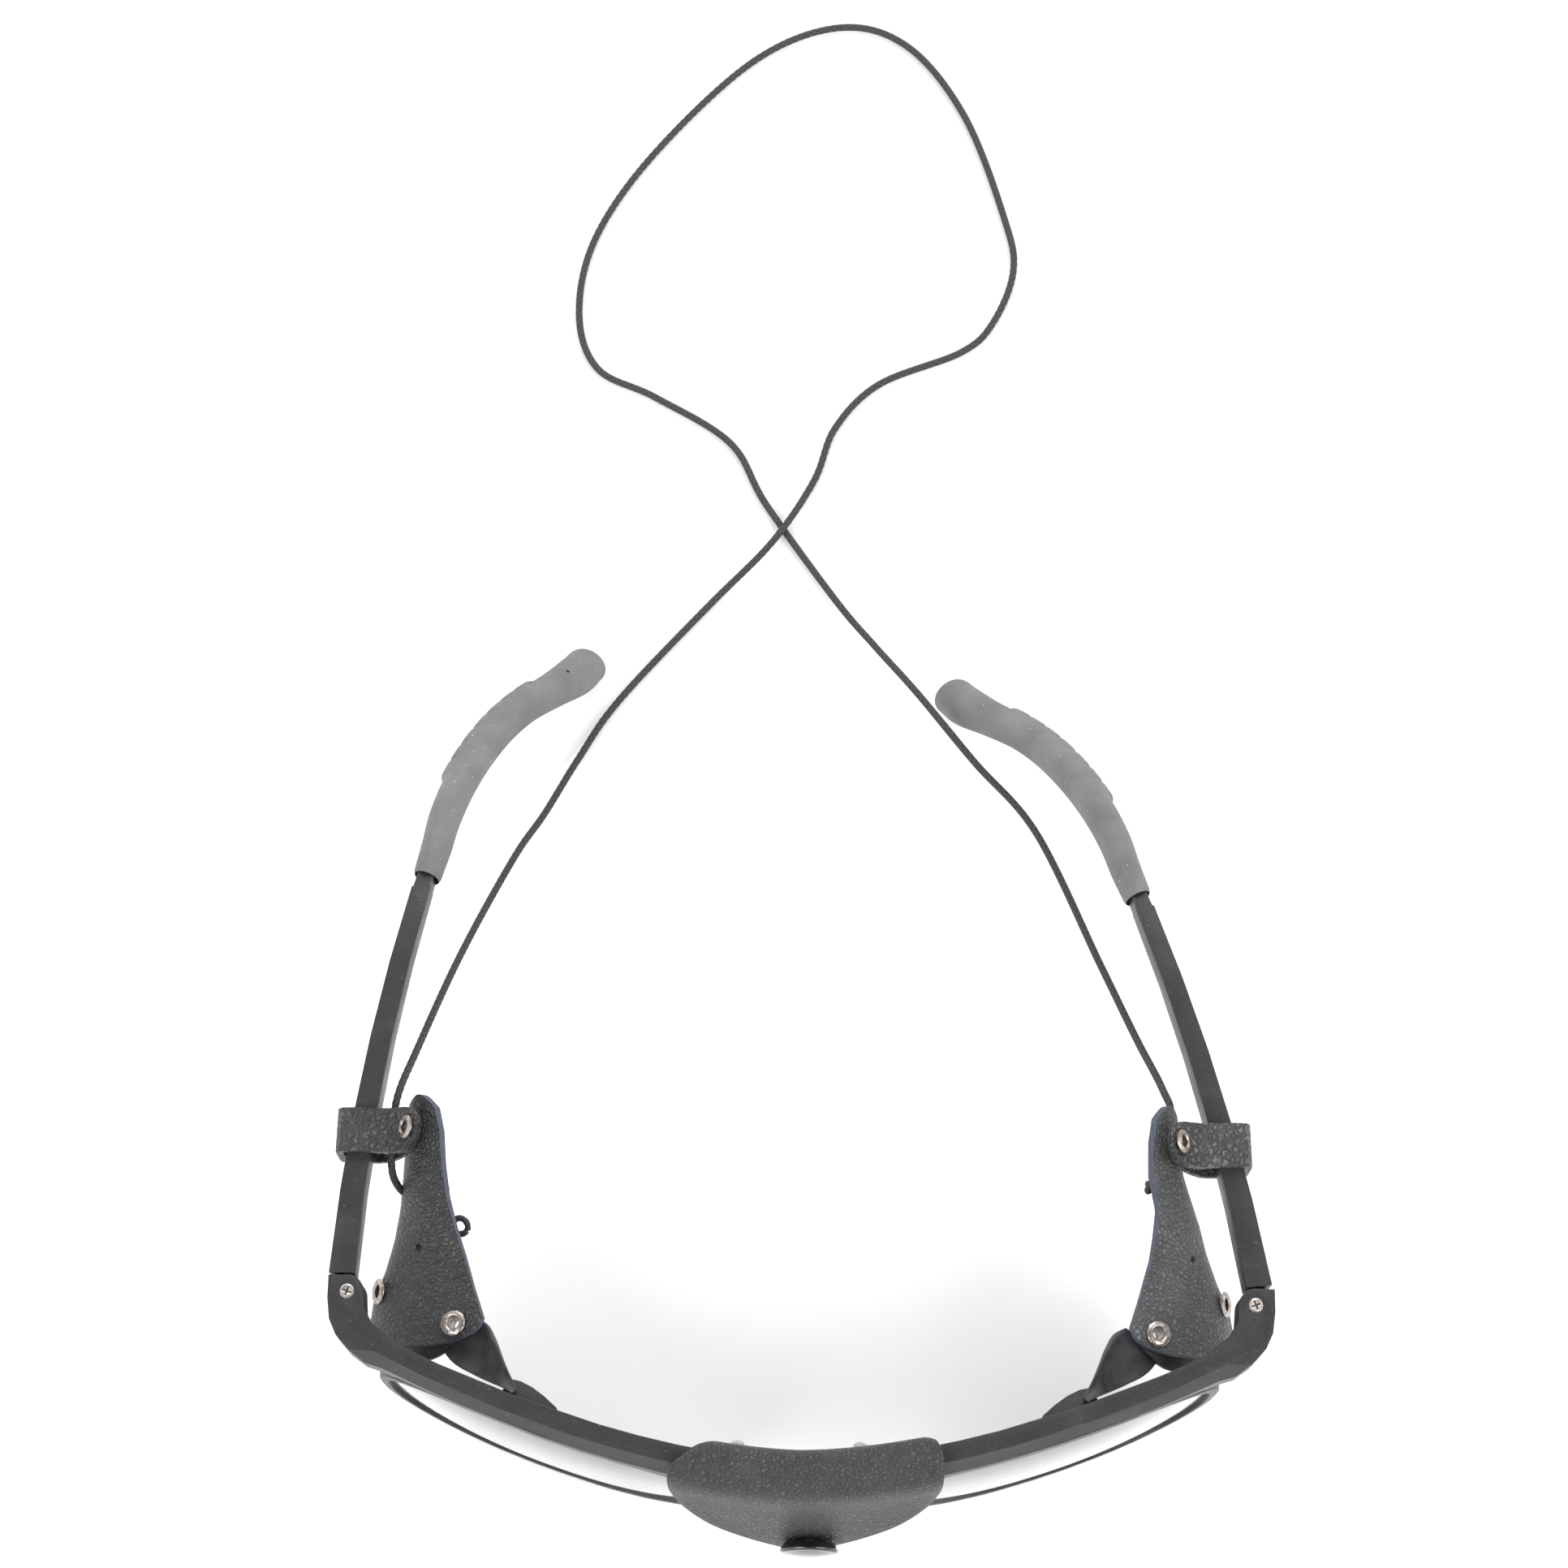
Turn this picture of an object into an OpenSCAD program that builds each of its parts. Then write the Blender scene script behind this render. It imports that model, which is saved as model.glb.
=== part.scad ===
// Glacier sunglasses with leather side shields and a braided retainer cord.
// Seated frame: X to the wearer's left, Y from the front to the ear tips, Z up.
// The glasses stand on a table at Z = 0, on the lower rims and the ear tips.

/* [Frame] */
// Distance between the two hinge axes
hinge_span = 137.4; // [128:0.2:146]
// Front to back depth of the brow bar
bar_depth = 4.4; // [3:0.1:6]
// Height of the brow bar
bar_h = 5; // [4:0.1:7]
// Sweep of the brow bar from the middle to the end pieces
bar_sweep = 15; // [8:0.5:20]
// Height of the end pieces at the hinges
end_h = 6.4; // [5:0.1:8]
// Thickness of the rims, front to back
rim_t = 3.4; // [2.5:0.1:5]
// Width of the rims around the lenses
rim_w = 1.5; // [1:0.1:3]
// Lean of the whole frame as it stands, degrees
lean = 5; // [0:0.5:10]

/* [Lenses] */
// Width of one lens
lens_w = 54; // [48:0.5:60]
// Height of one lens
lens_h = 36.6; // [30:0.1:46]
// Lens thickness
lens_t = 2.2; // [1.5:0.1:3]
// Distance from the middle plane to the lens centre
lens_x = 38; // [34:0.5:42]

/* [Temples] */
// Temple bar width
temple_w = 3.6; // [3:0.1:5]
// Temple bar height
temple_h = 6; // [4.5:0.1:8]
// Length of the visible straight bar, measured from the hinge
temple_l = 65.5; // [55:0.5:80]
// How far the right temple already stands folded in, degrees
right_fold = 6.8; // [0:0.5:15]
// Screw head radius
screw_r = 1.1; // [0.9:0.05:1.4]
// Screw shank radius
shank_r = 0.8; // [0.6:0.05:1]

/* [Leather] */
// Thickness of the side shields
shield_t = 1.2; // [0.8:0.1:2]
// Thickness of the bridge cover
cover_t = 1.4; // [1:0.1:2]
// Half width of the bridge cover
cover_w = 20.6; // [16:0.2:24]
// Width of the temple straps
strap_w = 6.8; // [5:0.1:9]
// Thickness of the temple straps
strap_t = 1.2; // [0.8:0.1:2]

/* [Eyelets and snap] */
// Bore radius of the vent eyelets
eyelet_bore = 1; // [0.8:0.05:1.5]
// Flange radius of the vent eyelets
eyelet_r = 2; // [1.6:0.05:2.8]
// Radius of the snap cap
snap_r = 4.5; // [3.5:0.1:5.5]

/* [Cord] */
// Cord diameter
cord_d = 1.2; // [0.8:0.1:2]

/* [Hidden] */
hx = hinge_span / 2;
lift = 42.1;
back = -36.7;
slot_lo = 4.6;
slot_hi = 1.8;
knuckle = 2.5;
plastic = [0.16, 0.17, 0.18];
rubber = [0.30, 0.30, 0.31];
hide = [0.12, 0.12, 0.13];
metal = [0.72, 0.68, 0.62];
dark = [0.05, 0.05, 0.055];

// ---- helpers -------------------------------------------------------------
module seat() translate([0, back, lift]) rotate([-lean, 0, 0]) children();
module left() mirror([1, 0, 0]) children();
module fold(a) translate([hx, 0, 0]) rotate([0, 0, a]) translate([-hx, 0, 0]) children();
function unit(v) = v / norm(v);
function mix(a, b, t) = a + (b - a) * t;
// smooth curve through a list of points, k steps for each span
function crom(p0, p1, p2, p3, t) = 0.5 * (2 * p1 + (p2 - p0) * t
  + (2 * p0 - 5 * p1 + 4 * p2 - p3) * t * t + (3 * p1 - p0 - 3 * p2 + p3) * t * t * t);
function smooth(p, k) = let (n = len(p)) concat(
  [for (i = [0:n - 2], j = [0:k - 1])
    crom(i > 0 ? p[i - 1] : 2 * p[0] - p[1], p[i], p[i + 1],
      i < n - 2 ? p[i + 2] : 2 * p[n - 1] - p[n - 2], j / k)], [p[n - 1]]);
// solid skin over a list of equal rings, capped at both ends
module skin(rings) {
  n = len(rings[0]);
  m = len(rings);
  sides = [for (i = [0:m - 2], j = [0:n - 1])
    let (a = i * n + j, b = i * n + (j + 1) % n) each [[a, b, b + n], [a, b + n, a + n]]];
  polyhedron(points = [for (r = rings) each r],
    faces = concat([[for (j = [n - 1:-1:0]) j]], [[for (j = [0:n - 1]) (m - 1) * n + j]], sides));
}
// sheet between two grids of points
module sheet(top, bot) {
  m = len(top);
  n = len(top[0]);
  k = m * n;
  grid = [for (i = [0:m - 2], j = [0:n - 2]) let (a = i * n + j) each
    [[a, a + 1, a + n + 1], [a, a + n + 1, a + n],
     [k + a, k + a + n + 1, k + a + 1], [k + a, k + a + n, k + a + n + 1]]];
  rows = [for (j = [0:n - 2]) let (a = j, b = (m - 1) * n + j) each
    [[a, k + a + 1, a + 1], [a, k + a, k + a + 1], [b, b + 1, k + b + 1], [b, k + b + 1, k + b]]];
  cols = [for (i = [0:m - 2]) let (a = i * n, b = i * n + n - 1) each
    [[a, a + n, k + a + n], [a, k + a + n, k + a], [b, k + b + n, b + n], [b, k + b, k + b + n]]];
  polyhedron(points = concat([for (r = top) each r], [for (r = bot) each r]),
    faces = concat(grid, rows, cols));
}
// round or oval rings along a route; w and h are lists of full widths and heights
function tangents(p) = let (n = len(p)) [for (i = [0:n - 1]) unit(p[min(i + 1, n - 1)] - p[max(i - 1, 0)])];
function ring(c, t, w, h, n) = let (s = unit(cross(t, [0, 0, 1])), u = cross(s, t))
  [for (j = [0:n - 1]) c + s * w / 2 * cos(360 * j / n) + u * h / 2 * sin(360 * j / n)];

// ---- front ---------------------------------------------------------------
function yi(x) = -24.4 + bar_sweep * pow(abs(x) / 57.6, 1.7);
function yf(x) = yi(x) - bar_depth;
module half_plan() {
  polygon(concat([for (x = [0:3:60]) [x, yi(x)]],
    [[62.6, -6.2], [64.8, -4.7], [66, -2.6], [hx - knuckle, 0], [hx, 0], [hx, 2.45], [hx + 2.9, 2.45],
     [hx + 2.9, -1], [hx + 2.5, -4.2], [hx + 1.4, -6.6], [hx - 0.6, -8.8], [hx - 3, -10.5]],
    [for (x = [63:-3:0]) [x, yf(x)]]));
  translate([hx, 0]) circle(r = knuckle, $fn = 40);
}
function lens_pt(a, g) = let (c = cos(a), s = sin(a), e = 2 / 2.7)
  [lens_x + (lens_w / 2 + g) * sign(c) * pow(abs(c), e) + (c < 0 ? 1 : -1) * 2.2 * (1 - s) * abs(c) * 0.6,
   -5.6 - lens_h / 2 + (lens_h / 2 + g) * sign(s) * pow(abs(s), e)];
module lens_outline(g) polygon([for (i = [0:47]) lens_pt(i * 7.5, g)]);
module face_band(f, t) {
  polygon(concat([for (x = [0:3:69]) [x, yf(x) + f]], [for (x = [69:-3:0]) [x, yf(x) + f + t]]));
}
module face_cut(f, t, g) intersection() {
  translate([0, 0, -60]) linear_extrude(70) face_band(f, t);
  rotate([90, 0, 0]) linear_extrude(60) lens_outline(g);
}
module half_front() difference() {
  union() {
    translate([0, 0, -bar_h]) linear_extrude(bar_h - 0.6) half_plan();
    translate([0, 0, -0.6]) linear_extrude(0.6) intersection() {
      half_plan();
      polygon(concat([[0, yi(0) - 2.9]], [for (x = [3:3:57]) [x, yi(x) - 2.9]],
        [[64, -9.2], [80, -8], [80, 20], [0, 20]]));
    }
    translate([0, 0, -end_h]) linear_extrude(end_h - 1) intersection() {
      half_plan();
      translate([61.5, -20]) square([20, 30]);
    }
    face_cut(0.2, rim_t, rim_w);
    // lug behind the bar that carries the tip of the shield carrier
    translate([0, 0, -bar_h]) linear_extrude(3.6)
      polygon([[36, -19], [36.5, -16.9], [38.4, -15.2], [40.2, -13.9], [42, -13], [43.4, -12.7], [46, -16]]);
    // bridge between the lenses
    translate([0, 0, -9]) linear_extrude(6)
      polygon(concat([for (x = [0:3:15]) [x, yf(x) + 0.6]], [for (x = [15:-3:0]) [x, yf(x) + 3.6]]));
  }
  face_cut(-2, 12, 0.05);
  // slot for the temple tongue
  translate([hx, 0, -slot_lo]) linear_extrude(slot_lo - slot_hi) {
    circle(r = knuckle + 0.25, $fn = 40);
    translate([-7, 0]) square([12, 5]);
    translate([-7, -knuckle - 0.25]) square([7, 4]);
  }
  // screw head seat and screw hole
  translate([hx, 0, -0.75]) cylinder(h = 2, r = screw_r + 0.05, $fn = 40);
  translate([hx, 0, -end_h + 0.6]) cylinder(h = 8, r = shank_r + 0.03, $fn = 40);
}
module front_frame() color(plastic) seat() {
  half_front();
  left() half_front();
}
module lens() face_cut(1, lens_t, 0);
module lens_left() color([0.45, 0.45, 0.47]) seat() left() lens();
module lens_right() color([0.45, 0.45, 0.47]) seat() lens();

module nose_pad() {
  p = smooth([[9.2, -20.9, -9.4], [9.2, -20.9, -10.4], [9.8, -21, -14], [11, -21, -19],
    [12.4, -21.2, -23.4], [12.9, -21.4, -24.6]], 3);
  t = tangents(p);
  w = smooth([0.8, 2, 3, 3.4, 2.4, 0.8], 3);
  h = smooth([0.8, 1.8, 2.4, 2.6, 2.2, 0.8], 3);
  skin([for (i = [0:len(p) - 1]) let (s = unit(cross([0, 1, 0], t[i])))
    [for (j = [0:11]) p[i] + s * w[i] / 2 * cos(30 * j) - [0, 1, 0] * h[i] / 2 * sin(30 * j)]]);
  translate([10.4, -24.9, -16.5]) rotate([-90, 0, 0]) cylinder(h = 3.6, r = 0.9, $fn = 24);
}
module nose_pad_left() color([0.7, 0.7, 0.7]) seat() left() nose_pad();
module nose_pad_right() color([0.7, 0.7, 0.7]) seat() nose_pad();

// ---- bridge cover and snap -------------------------------------------------
// rows from the rear flap over the bar to the front flap: y, z, right half width, follow, left half width
cover_rows = [[-30.6, -22, 3.6, 0, 3.6], [-29, -18, 4.6, 0.1, 4.6], [-25.6, -14, 6, 0.3, 6],
  [-23.1, -9.5, 10.5, 0.8, 9], [-22.7, -5.5, 15, 1, 11.5], [-22.6, -2, 17.6, 1, 13.6],
  [-23.2, 1.2, 19.2, 1, 15.6], [-25.5, 2.2, 20.2, 1, 18], [-27.8, 2, 20.6, 1, 19.9],
  [-29.8, 1, 20.6, 1, 20.6], [-30.9, -1.4, 20.5, 1, 20.6], [-31.5, -5.5, 20.1, 1, 20.2],
  [-32.3, -10, 18.4, 0.85, 18.4], [-33.3, -14.5, 14.6, 0.6, 14.6], [-34.2, -18.5, 9.2, 0.4, 9.2],
  [-34.8, -22.3, 4.4, 0.2, 4.4]];
module bridge_cover() color(hide) seat() {
  r = smooth(cover_rows, 2);
  n = len(r);
  nrm = [for (i = [0:n - 1]) let (a = r[max(i - 1, 0)], b = r[min(i + 1, n - 1)])
    unit([0, b[1] - a[1], a[0] - b[0]])];
  top = [for (i = [0:n - 1]) [for (j = [-8:8]) let (x = 1 + r[i][j < 0 ? 4 : 2] * cover_w / 20.6 * j / 8)
    [x, r[i][0] + r[i][3] * (yi(x) - yi(0)), r[i][1]]]];
  inside = [for (i = [0:n - 1]) [for (p = top[i]) p - nrm[i] * cover_t]];
  sheet(top, inside);
}
module on_snap() seat() translate([1.8, -34.6, -18.4]) rotate([90 - 2, 0, 0]) children();
module snap_cap() color(dark) on_snap() {
  rotate_extrude($fn = 48) polygon(concat([[0, 0], [snap_r - 0.5, 0]],
    [for (a = [0:10:90]) [(snap_r - 0.6) + 0.6 * cos(a), 1 + 0.5 * sin(a)]],
    [for (a = [1:6]) [(snap_r - 0.6) * (1 - a / 6), 1.5 + 0.5 * (1 - pow(1 - a / 6, 2))]]));
  translate([0, 0, -1.9]) cylinder(h = 1.9, r = 1, $fn = 32);
}
module snap_socket() color(metal) on_snap() translate([0, 0, -3.2])
  rotate_extrude($fn = 48) polygon([[2.05, 0], [3.4, 0], [3.7, 0.4], [3.7, 1.4], [3.3, 1.8], [1.05, 1.8],
    [1.05, 1.3], [2.05, 1.3]]);
module snap_stud() color(metal) on_snap() translate([0, 0, -4.1])
  rotate_extrude($fn = 48) polygon([[0.75, 0], [3.4, 0], [3.4, 0.7], [1.7, 0.8], [1.6, 1.2], [1.9, 1.6],
    [1.5, 2], [0, 2], [0, 1.5], [0.75, 1.5]]);
module snap_post() color(metal) on_snap() translate([0, 0, -6.3]) {
  cylinder(h = 0.6, r = 3, $fn = 40);
  cylinder(h = 3.4, r = 0.7, $fn = 32);
}

// ---- side shields ----------------------------------------------------------
xi_pts = [[-8, 46.6], [-3, 48.4], [1.5, 50], [6.2, 51.5], [10.3, 53], [14.6, 54.3], [19, 55],
  [24, 55.4], [28, 56.4], [32, 57.6]];
xo_pts = [[-8, 67.2], [-3, 66.9], [1.5, 66.3], [5.5, 64.6], [10, 63.2], [14.5, 62.3], [19, 61.9],
  [24, 61.6], [28, 61.6], [32, 61.2]];
function cl(x, a, b) = max(a, min(b, x));
// turn_in moves the rear of a shield inwards with a temple that stands part folded
function x_in(y, q) = lookup(y, xi_pts) + q * lookup(y, [[-8, 2], [7, 1.6], [14, 0.2], [19, -1.8], [32, -2.8]]);
function x_out(y, q) = lookup(y, xo_pts) + q * lookup(y, [[-3, 0.6], [6, 0], [14, -0.8], [21, -2.8], [28, -3.4], [32, -3.2]]);
function ss(t) = let (k = cl(t, 0, 1)) k * k * (3 - 2 * k);
function z_in(y) = mix(-4.2, 4.4, ss(y / 27));
function z_limb(y) = mix(-17, -7.5, ss((y + 4) / 32));
function z_bot(y) = mix(-35, -11, ss((y + 10) / 36));
a0 = 38;
// point and outward normal of the shield surface: t runs from inner edge to lower edge
function sh_xz(y, t, q) = t < 0.6
  ? let (a = mix(a0, 90, t / 0.6), k = (sin(a) - sin(a0)) / (1 - sin(a0)))
    [mix(x_in(y, q), x_out(y, q), k), z_limb(y) + (z_in(y) - z_limb(y)) * cos(a) / cos(a0)]
  : let (k = (t - 0.6) / 0.4) [x_out(y, q) - 2.2 * k * k, mix(z_limb(y), z_bot(y), k)];
function sh_n(y, t, q) = let (e = 0.02, a = sh_xz(y, max(0, t - e), q), b = sh_xz(y, min(1, t + e), q),
  d = unit(b - a)) [-d[1], 0, d[0]];
function sh_front(t) = -3 - 3.9 * sin(180 * pow(cl(t / 0.6, 0, 1), 0.62)) - 2.4 * cl((t - 0.6) / 0.4, 0, 1);
function sh_rear(t) = t < 0.2 ? 30.2 - 2.6 * pow((0.2 - t) / 0.2, 2) : 30.2 - 8 * pow((t - 0.2) / 0.8, 1.7);
function sh_y(s, t) = mix(sh_front(t), sh_rear(t), s);
function sh_p(s, t, q, d) = let (y = sh_y(s, t), c = sh_xz(y, t, q), n = sh_n(y, t, q))
  [c[0], y, c[1]] - n * d;
module eye_at(y, t, q, d = 0) {
  c = sh_xz(y, t, q);
  n = sh_n(y, t, q);
  translate([c[0], y, c[1]] - n * d) rotate([0, atan2(n[0], n[2]), 0]) children();
}
// the two vent eyelets of a shield, at y and t along its surface
eyes = [[-3.7, 0.085], [2.2, 0.46]];
module shield(q) difference() {
  sheet([for (i = [0:18]) [for (j = [0:14]) sh_p(i / 18, j / 14, q, shield_t)]],
    [for (i = [0:18]) [for (j = [0:14]) sh_p(i / 18, j / 14, q, 0)]]);
  for (e = eyes) eye_at(e[0], e[1], q) cylinder(h = 6, r = eyelet_bore + 0.42, center = true, $fn = 32);
}
module eyelets(q) for (e = eyes) eye_at(e[0], e[1], q)
  rotate_extrude($fn = 40) polygon([[eyelet_bore, -3], [eyelet_bore + 0.7, -3], [eyelet_bore + 0.7, -2.8],
    [eyelet_bore + 0.35, -2.6], [eyelet_bore + 0.35, 0.2], [eyelet_r, 0.2], [eyelet_r, 0.38],
    [eyelet_r - 0.35, 0.6], [eyelet_bore + 0.2, 0.6], [eyelet_bore, 0.4]]);
// rubber carrier: an arch that backs the shield, and a leaf that reaches to the lug on the bar
function arch_pt(t, d, q) = let (c = sh_xz(-2, t, q), n = sh_n(-2, t, q)) [c[0] - n[0] * d, c[1] - n[2] * d];
leaf_bar = [[55.6, -6, -8.9], [53, -9.2, -8], [49.5, -11.3, -6.6], [46.8, -12.8, -4], [44.9, -14, -0.3],
  [43.2, -15, 0.1]];
leaf_ridge = [[49.6, -2.6, -7], [47.6, -3.8, -6.4], [46.2, -6.2, -5], [45.2, -8.6, -3.2], [44, -11.3, -0.8],
  [42.5, -14.3, 0.1]];
module leaf() {
  a = smooth(leaf_bar, 3);
  b = smooth(leaf_ridge, 3);
  top = [for (i = [0:len(a) - 1]) [for (j = [0:8]) mix(a[i], b[i], j / 8)
    + [0, 0, (j == 7 ? 0.45 : -0.4 * sin(22.5 * j)) * min(1, i / 5)]]];
  sheet([for (i = [0:len(top) - 1]) [for (p = top[i]) p - [0, 0, i < 5 ? 1.4 : 1]]], top);
}
module carrier(q) difference() {
  union() {
    intersection() {
      translate([0, 20, 0]) rotate([90, 0, 0]) linear_extrude(50)
        polygon(concat([for (j = [1:20]) arch_pt(j / 20, shield_t + 0.75, q)],
          [for (j = [20:-1:1]) arch_pt(j / 20, shield_t + 1.9, q)]));
      translate([0, 0, -50]) linear_extrude(60)
        polygon([[44, -5.6], [47, -6.4], [50, -7.6], [55, -8], [57, -8.6], [59, -8.8], [62, -7.6], [65, -5.6], [69, -2.4], [70, 0.4],
          [48, -1.6]]);
    }
    leaf();
  }
  for (e = eyes) eye_at(e[0], e[1], q) cylinder(h = 12, r = eyelet_r + 0.1, center = true, $fn = 32);
}
module shield_carrier_left() color(rubber) seat() left() carrier(0);
module shield_carrier_right() color(rubber) seat() carrier(1);
module shield_left() color(hide) seat() left() shield(0);
module shield_right() color([0.28, 0.28, 0.29]) seat() shield(1);
module shield_eyelets_left() color(metal) seat() left() eyelets(0);
module shield_eyelets_right() color(metal) seat() eyelets(1);

// ---- temples ---------------------------------------------------------------
function tx(y) = hx + 1.1 - 0.046 * y - 0.00158 * y * y;
function tw(y) = mix(temple_w + 0.3, temple_w - 0.6, y / 64);
tys = [2.8, 6, 10, 16, 22, 28, 34, 40, 46, 52, 58, 64];
module temple() difference() {
  union() {
    intersection() {
      translate([0, 0, -8]) linear_extrude(10)
        polygon(concat([for (y = tys) [tx(y) - tw(y) / 2, y]],
          [for (i = [len(tys) - 1:-1:0]) [tx(tys[i]) + tw(tys[i]) / 2, tys[i]]]));
      rotate([90, 0, 90]) linear_extrude(90)
        polygon([[0, -temple_h - 0.1], [64, -temple_h + 0.9], [64, -0.4], [10, -0.1], [0, -0.1]]);
    }
    translate([0, 0, -temple_h + 0.4]) linear_extrude(temple_h - 1)
      polygon([[tx(64) - 1.3, 64], [tx(64) + 1.3, 64], [tx(71.2) + 1.1, 71.2], [tx(71.2) - 1.1, 71.2]]);
    translate([hx, 0, -slot_lo + 0.1]) linear_extrude(slot_lo - slot_hi - 0.2) {
      circle(r = 2.35, $fn = 40);
      translate([-0.7, 0]) square([2.8, 3]);
    }
  }
  translate([hx, 0, -8]) cylinder(h = 10, r = shank_r + 0.06, $fn = 40);
}
module screw() translate([hx, 0, 0]) difference() {
  union() {
    translate([0, 0, -0.72]) cylinder(h = 0.62, r = screw_r, $fn = 40);
    translate([0, 0, -end_h + 0.7]) cylinder(h = end_h - 0.9, r = shank_r, $fn = 40);
  }
  for (a = [0, 90]) rotate([0, 0, a + 20]) translate([-0.75, -0.16, -0.5]) cube([1.5, 0.32, 1]);
}
// ear sleeve: a rubber sock from the bar's end to the rounded ear tip
sl_pts = [[tx(66.4), 66.4, -3.1], [tx(71), 71, -3.2], [57.5, 76, -3.6], [55.7, 82, -5.5],
  [53.3, 88.3, -8.9], [50.2, 94.8, -13.7], [46.7, 100.2, -18.5], [42.6, 104.8, -23.2], [39.2, 108.8, -27.5],
  [37.6, 111.3, -29.5]];
sl_w = [4.4, 4.8, 5.1, 5.3, 5.4, 5.4, 5.4, 5.9, 7, 7];
sl_h = [7.4, 7.6, 7.6, 7.4, 7.2, 7, 6.8, 6.4, 6.2, 5.2];
function rib(i, j) = (i >= 24 && i < 52 && (i % 4 == 1 || i % 4 == 2) && (j >= 13 || j <= 3)) ? 0.5 : 0;
module sleeve() {
  k = 8;
  p = smooth(sl_pts, k);
  w = smooth(sl_w, k);
  h = smooth(sl_h, k);
  t = tangents(p);
  m = len(p) - 1;
  tipd = t[m];
  outer = [for (i = [0:m]) [for (j = [0:15]) let (r = ring(p[i], t[i], w[i] + 2 * rib(i, j), h[i], 16)) r[j]]];
  cap = [for (a = [30, 60, 80]) let (k = pow(cos(a), 0.45))
    ring(p[m] + tipd * 2.6 * sin(a), tipd, w[m] * k, h[m] * k, 16)];
  pocket = [for (i = [9, 6, 3, 0]) let (s = unit(cross(t[i], [0, 0, 1])))
    [for (j = [0:15]) let (c = cos(22.5 * j), d = sin(22.5 * j), f = pow(pow(abs(c), 5) + pow(abs(d), 5), -0.2))
      p[i] + s * (i > 1 ? 1.72 : 1.95) * c * f + [0, 0, 1] * ((i > 1 ? 2.9 : 3.1) * d * f - 0.05)]];
  skin(concat(pocket, outer, cap));
}
// leather strap: a loop over the temple bar, with its tail on the shield's tongue
function strap_pts(o) = [[2.6 + o, 0.1], [2.4 + o * 0.6, 0.2 + o * 0.7], [1.6, 0.2 + o], [-2.1, 0.2 + o],
  [-4.2, 0.4 + o], [-5.8, 1.3 + o], [-9, 5.4 + o * 0.5]];
module strap_shape() difference() {
  polygon(concat(strap_pts(strap_t), [[-9.5, 4.8], [-8.6, 1.6], [-7.3, -1.2], [-5.1, -5], [-3.6, -7],
    [-2, -7.7], [2.2, -7.7], [3.6, -7.2], [3.8, -5.6], [3.8, -1]]));
  polygon([[2.6, 0.1], [2.6, -6.3], [-2.6, -6.4], [-3.3, -6], [-4.6, -4.2], [-6.4, -1.2], [-7.2, 0.8], [-5.4, 0.2],
    [-4.2, -0.6], [-3, 0.1]]);
}
module on_strap(a) translate([tx(24.6) - 0.05, 24.6, 0]) rotate([0, 0, a]) children();
tail_tilt = 54;
module on_tail() translate([-7.3, 0, 3.9]) rotate([0, tail_tilt, 0]) children();
module strap(a) on_strap(a) difference() {
  intersection() {
    rotate([90, 0, 0]) translate([0, 0, -strap_w / 2]) linear_extrude(strap_w) strap_shape();
    // rounded tail
    translate([0, 0, -10]) linear_extrude(20) {
      translate([-5.6, -strap_w / 2]) square([12, strap_w]);
      translate([-5.6, 0]) scale([1.18, 1]) circle(r = strap_w / 2, $fn = 48);
    }
  }
  on_tail() cylinder(h = 10, r = 1.3, center = true, $fn = 32);
}
module strap_eyelet(a) on_strap(a) on_tail()
  rotate_extrude($fn = 40) polygon([[0.85, -1.1], [1.25, -1.1], [1.25, 0.32],
    [1.9, 0.32], [1.9, 0.5], [1.6, 0.72], [1, 0.72], [0.85, 0.55]]);
module temple_left() color(plastic) seat() left() temple();
module temple_right() color(plastic) seat() fold(right_fold) temple();
module hinge_screw_left() color([0.85, 0.85, 0.86]) seat() left() screw();
module hinge_screw_right() color([0.85, 0.85, 0.86]) seat() screw();
module ear_sleeve_left() color(rubber) seat() left() sleeve();
module ear_sleeve_right() color(rubber) seat() fold(right_fold) sleeve();
module strap_left() color(hide) seat() left() strap(1);
module strap_right() color([0.28, 0.28, 0.29]) seat() fold(right_fold) strap(-5);
module strap_eyelet_left() color(metal) seat() left() strap_eyelet(1);
module strap_eyelet_right() color(metal) seat() fold(right_fold) strap_eyelet(-5);

// ---- retainer cord -----------------------------------------------------------
rest = cord_d / 2;
route = [[-59.6, 14.6, 30.6], [-62.5, 17, 33.6], [-63.3, 20.5, 36.7], [-62.9, 29.5, 36.8],
  [-60.3, 38.5, 33], [-55, 56, 21], [-48, 74, 9.5], [-43.5, 82.5, 5], [-38.5, 92.5, 1.6],
  [-32, 103, rest], [-17.5, 119.5, rest], [-6.5, 131, 2], [0.5, 142.5, rest], [4, 152, rest],
  [11.5, 160, rest], [25.5, 166, rest], [31, 171.5, rest], [34.5, 181, rest], [33, 190.5, rest],
  [26, 209.5, rest], [16, 222.5, rest], [4, 226, rest], [-11, 219.5, rest], [-28, 202, rest],
  [-38, 186, rest], [-40.5, 172, rest], [-37, 162, rest], [-27, 157, rest], [-14, 149, rest],
  [-7.6, 138, rest], [4.5, 121, 1.2], [11, 112.5, 4], [18, 103, 9.6], [27.5, 91, 11], [37.5, 78.5, 14],
  [47, 55, 24], [52, 42, 31], [55.4, 33.6, 36], [56.6, 29, 36.5], [54.6, 20.4, 33.6]];
module cord() color(dark) {
  p = [for (v = smooth(route, 2)) [v[0], v[1] + back, max(v[2], rest)]];
  t = tangents(p);
  skin([for (i = [0:len(p) - 1]) ring(p[i], t[i], cord_d, cord_d, 8)]);
}
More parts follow.
